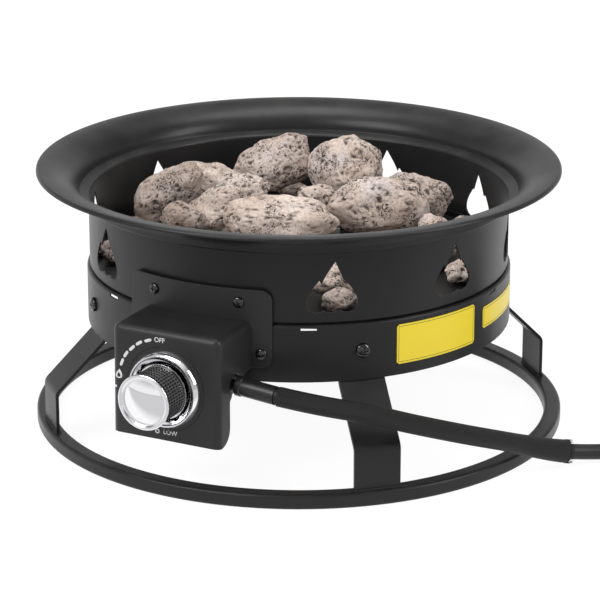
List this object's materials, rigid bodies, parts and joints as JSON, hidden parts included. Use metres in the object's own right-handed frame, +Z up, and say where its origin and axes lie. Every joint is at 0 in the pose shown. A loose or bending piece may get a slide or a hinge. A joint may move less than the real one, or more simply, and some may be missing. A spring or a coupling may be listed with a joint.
{
  "type": "fire_pit",
  "caption": "Tabletop gas fire pit: flared dark steel bowl of lava rock with flame-shaped openings, knob and control box in front, strap legs on a base ring, and a gas hose with regulator",
  "frame": {"origin": "On the bowl's axis, on the flat underside of the base ring", "axes": "+Z up, -Y toward the user of the knob, +X to the right of the user, where the hose leaves"},
  "size_m": [0.7057, 0.579, 0.244],
  "materials": {
    "powder_coat": "satin textured powder coat",
    "bright_steel": "zinc plated",
    "brass_fitting": "machined",
    "chrome_trim": "polished",
    "black_plastic": "moulded",
    "hose_rubber": "smooth matte",
    "braided_sleeve": "fine woven braid",
    "tie_fabric": "woven strap",
    "cast_alloy": "die cast",
    "red_enamel": "gloss enamel",
    "black_screws": "black zinc",
    "lava_rock": "porous volcanic stone"
  },
  "bodies": {
    "pit": {"fire_bowl": "powder_coat", "rock_tray": "powder_coat", "skirt": "powder_coat", "flange_screws": "black_screws", "flange_nuts": "bright_steel", "burner_ring": "bright_steel", "burner_feet": "bright_steel", "burner_nut": "brass_fitting", "mixer_tube": "brass_fitting", "orifice_holder": "brass_fitting", "gas_jet": "brass_fitting", "gas_pipe": "bright_steel", "pipe_nuts": "brass_fitting", "control_plate": "powder_coat", "control_box": "powder_coat", "plate_screws": "black_screws", "bezel": "chrome_trim", "valve_body": "brass_fitting", "panel_nut": "bright_steel", "inlet_nut": "brass_fitting", "base_ring": "powder_coat", "leg_front_left": "powder_coat", "leg_front_right": "powder_coat", "leg_rear_left": "powder_coat", "leg_rear_right": "powder_coat", "leg_screws": "black_screws", "leg_nuts": "bright_steel", "hose_ferrule": "chrome_trim", "hose_sleeve": "braided_sleeve", "hose_run": "hose_rubber", "hose_coil": "hose_rubber", "hose_tail": "hose_rubber", "coil_ties": "tie_fabric", "tail_ferrule": "chrome_trim", "regulator_body": "cast_alloy", "regulator_cover": "red_enamel", "tank_nipple": "brass_fitting", "lower_rocks": "lava_rock", "rock_1": "lava_rock", "rock_2": "lava_rock", "rock_3": "lava_rock", "rock_4": "lava_rock", "rock_5": "lava_rock", "rock_6": "lava_rock", "rock_7": "lava_rock", "rock_8": "lava_rock", "rock_9": "lava_rock", "rock_10": "lava_rock", "rock_11": "lava_rock"},
    "push": {"stem_washer": "bright_steel"},
    "turn": {"valve_stem": "bright_steel", "knob_barrel": "black_plastic", "knob_cap": "chrome_trim", "knob_ring": "chrome_trim"},
    "wheel": {"hand_wheel": "black_plastic"}
  },
  "joints": [
    {"name": "knob_push", "type": "slide", "parent": "pit", "child": "push", "axis": [0, 1, 0], "range_m": [0, 0.0025], "stiffness_N_per_m": 800, "springref_m": -0.004},
    {"name": "knob_turn", "type": "hinge", "parent": "push", "child": "turn", "pos_m": [0, -0.2493, 0.102], "axis": [0, -1, 0], "range_deg": [0, 180]},
    {"name": "hand_wheel_turn", "type": "hinge", "parent": "pit", "child": "wheel", "pos_m": [0.39965, 0.25551, 0.053], "axis": [-0.165, 0.9863, 0], "continuous": true}
  ]
}
